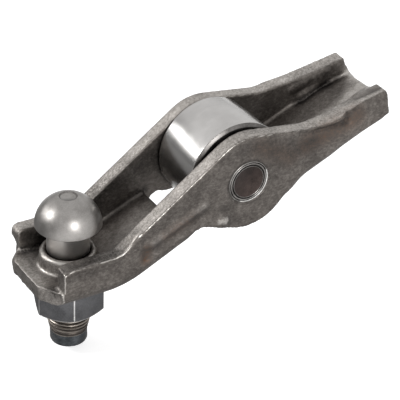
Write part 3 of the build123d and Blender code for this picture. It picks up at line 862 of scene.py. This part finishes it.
# ------------------------------------------------------------------ the stage
def pale_floor(colour):
    """A matt white floor that glows a little to the eye.  Polished steel sees the glow only
    away from the arm's shade, and sees the floor dark towards the back left, as if a flag
    stood there."""
    mat, tree, out = new_material("Pale floor")
    ray = node(tree, "LightPath")
    where = node(tree, "TexCoord").outputs["Object"]
    off = node(tree, "VectorMath", {"operation": "LENGTH"}, _0=where)
    past_shade = node(tree, "MapRange", {"From Min": 25 * MM, "From Max": 110 * MM},
                      Value=off.outputs["Value"])
    bearing = node(tree, "VectorMath", {"operation": "NORMALIZE"}, _0=where)
    toward = node(tree, "VectorMath", {"operation": "DOT_PRODUCT", 1: (-0.8, 0.6, 0)},
                  _0=bearing.outputs["Vector"])
    past_flag = node(tree, "MapRange", {"From Min": 0.9, "From Max": 0.55, "To Min": 0.25},
                     Value=toward.outputs["Value"])
    bright = node(tree, "Math", {"operation": "MULTIPLY"}, _0=past_shade.outputs["Result"],
                  _1=past_flag.outputs["Result"])
    gloss = node(tree, "Math", {"operation": "MULTIPLY"}, _0=ray.outputs["Is Glossy Ray"],
                 _1=bright.outputs["Value"])
    seen = node(tree, "Math", {"operation": "MAXIMUM"}, _0=ray.outputs["Is Camera Ray"],
                _1=gloss.outputs["Value"])
    flagged = node(tree, "Math", {"operation": "SUBTRACT", 0: 1.0},
                   _1=past_flag.outputs["Result"])
    hidden = node(tree, "Math", {"operation": "MULTIPLY"}, _0=ray.outputs["Is Glossy Ray"],
                  _1=flagged.outputs["Value"])

    matt = node(tree, "BsdfDiffuse", {"Color": colour})
    glow = node(tree, "Emission", {"Color": (1, 1, 1, 1), "Strength": 0.5})
    black = node(tree, "Emission", {"Strength": 0.0})
    lift = node(tree, "MixShader", Fac=seen.outputs["Value"], _1=black.outputs[0],
                _2=glow.outputs[0])
    both = node(tree, "AddShader", _0=matt.outputs[0], _1=lift.outputs[0])
    laid = node(tree, "MixShader", Fac=hidden.outputs["Value"], _1=both.outputs[0],
                _2=black.outputs[0])
    tree.links.new(laid.outputs[0], out.inputs["Surface"])
    return mat


def lay_floor(colour):
    """Lays the floor low enough for the stud to be screwed right down."""
    bpy.ops.object.select_all(action="DESELECT")
    bpy.ops.mesh.primitive_plane_add(size=4, location=(0, 0, STUD_LOW.z - 1.7 * MM))
    floor = bpy.context.object
    floor.name = "floor"
    floor.data.materials.append(pale_floor(colour))


def hang_backdrop(scene, colour):
    """A backdrop that is white to the eye.  What polished steel sees of it fades to a dark
    grey low at the back, and all else is lit by it at a little over half strength."""
    world = bpy.data.worlds.new("Studio")
    scene.world = world
    world.use_nodes = True
    tree = world.node_tree
    tree.nodes.clear()
    ray = node(tree, "LightPath")
    way = node(tree, "TexCoord").outputs["Generated"]
    front = node(tree, "VectorMath", {"operation": "DOT_PRODUCT", 1: (0.3, -0.35, 0.9)},
                 _0=way)
    fade = node(tree, "MapRange", {"From Min": -0.3, "From Max": 0.15, "To Min": 0.15,
                                   "To Max": 1.0}, Value=front.outputs["Value"])
    gloss = node(tree, "Mix", {"data_type": "FLOAT", 2: 0.55},
                 Factor=ray.outputs["Is Glossy Ray"], _3=fade.outputs["Result"])
    shown = node(tree, "Math", {"operation": "MAXIMUM"}, _0=ray.outputs["Is Camera Ray"],
                 _1=gloss.outputs[0])
    back = node(tree, "Background", {"Color": colour}, Strength=shown.outputs["Value"])
    end = node(tree, "OutputWorld")
    tree.links.new(back.outputs[0], end.inputs["Surface"])


def set_soft_boxes():
    """Soft boxes at the left, in front and behind the roller's shoulder, aimed at the axle.
    Places and sizes are in metres, powers in watts."""
    for name, place, width, height, power in (
            ("Left box", (-0.475, 0.203, 0.298), 0.12, 0.12, 1.5),
            ("Front box", (-0.074, -0.55, 0.224), 0.14, 0.14, 1.7),
            ("Back box", (-0.378, 0.431, 0.177), 0.28, 0.13, 0.55)):
        bpy.ops.object.light_add(type="AREA", location=place)
        lamp = bpy.context.object
        lamp.name = name
        lamp.data.shape, lamp.data.energy = "RECTANGLE", power
        lamp.data.size, lamp.data.size_y = width, height
        lamp.rotation_euler = (-Vector(place)).to_track_quat("-Z", "Y").to_euler()


def set_camera(scene):
    """Sets the camera so that the point it aims at stands at aim_px in the picture."""
    azimuth, elevation, roll = radians(32.62), radians(31.48), radians(2.67)
    distance, focal_px, picture_px, sensor = 300 * MM, 1605.91, 400, 36
    aim, aim_px = Vector((0, 0.86 * MM, 0)), (218.86, 156.63)
    back = Vector((-sin(azimuth) * cos(elevation), -cos(azimuth) * cos(elevation),
                   sin(elevation)))
    level = Vector((cos(azimuth), -sin(azimuth), 0))
    upright = back.cross(level)
    right = cos(roll) * level + sin(roll) * upright
    up = -sin(roll) * level + cos(roll) * upright
    px = distance / focal_px                            # metres across one pixel at the aim
    place = (aim + back * distance - right * ((aim_px[0] - picture_px / 2) * px)
             - up * ((picture_px / 2 - aim_px[1]) * px))
    bpy.ops.object.camera_add()
    camera = bpy.context.object
    camera.name = "Camera"
    camera.data.sensor_width, camera.data.lens = sensor, sensor * focal_px / picture_px
    turn = Matrix((right, up, back)).transposed().to_4x4()
    camera.matrix_world = Matrix.Translation(place) @ turn
    camera.data.clip_start = 0.01
    scene.camera = camera


class ROCKER_OT_stage(bpy.types.Operator):
    """Lays the pale floor and sets the lights and the camera"""
    bl_idname = "rocker.stage"
    bl_label = "Stage"

    def execute(self, context):
        colours = context.scene.rocker_colours
        lay_floor(tuple(colours.floor))
        hang_backdrop(context.scene, tuple(colours.backdrop))
        set_soft_boxes()
        set_camera(context.scene)
        context.scene.view_settings.view_transform = "Standard"
        return {"FINISHED"}


# ------------------------------------------------------------------ panel
STEPS = (ROCKER_OT_arm, ROCKER_OT_axle, ROCKER_OT_roller, ROCKER_OT_needles, ROCKER_OT_stud,
         ROCKER_OT_nut, ROCKER_OT_stage)


class ROCKER_PT_panel(bpy.types.Panel):
    """Lists the pieces of the rocker arm and their settings"""
    bl_idname = "ROCKER_PT_panel"
    bl_label = "Rocker Arm"
    bl_space_type = "VIEW_3D"
    bl_region_type = "UI"
    bl_category = "Rocker Arm"

    def draw(self, context):
        for group in (context.scene.rocker_sizes, context.scene.rocker_colours):
            for name in group.__annotations__:
                self.layout.prop(group, name)
        for step in STEPS:
            self.layout.operator(step.bl_idname)


CLASSES = (ROCKER_sizes, ROCKER_colours) + STEPS + (ROCKER_PT_panel,)


def register():
    for cls in CLASSES:
        bpy.utils.register_class(cls)
    bpy.types.Scene.rocker_sizes = PointerProperty(type=ROCKER_sizes)
    bpy.types.Scene.rocker_colours = PointerProperty(type=ROCKER_colours)


def unregister():
    del bpy.types.Scene.rocker_colours
    del bpy.types.Scene.rocker_sizes
    for cls in reversed(CLASSES):
        bpy.utils.unregister_class(cls)


def main():
    register()
    for step in STEPS:
        group, name = step.bl_idname.split(".")
        getattr(getattr(bpy.ops, group), name)()


if __name__ == "__main__":
    main()
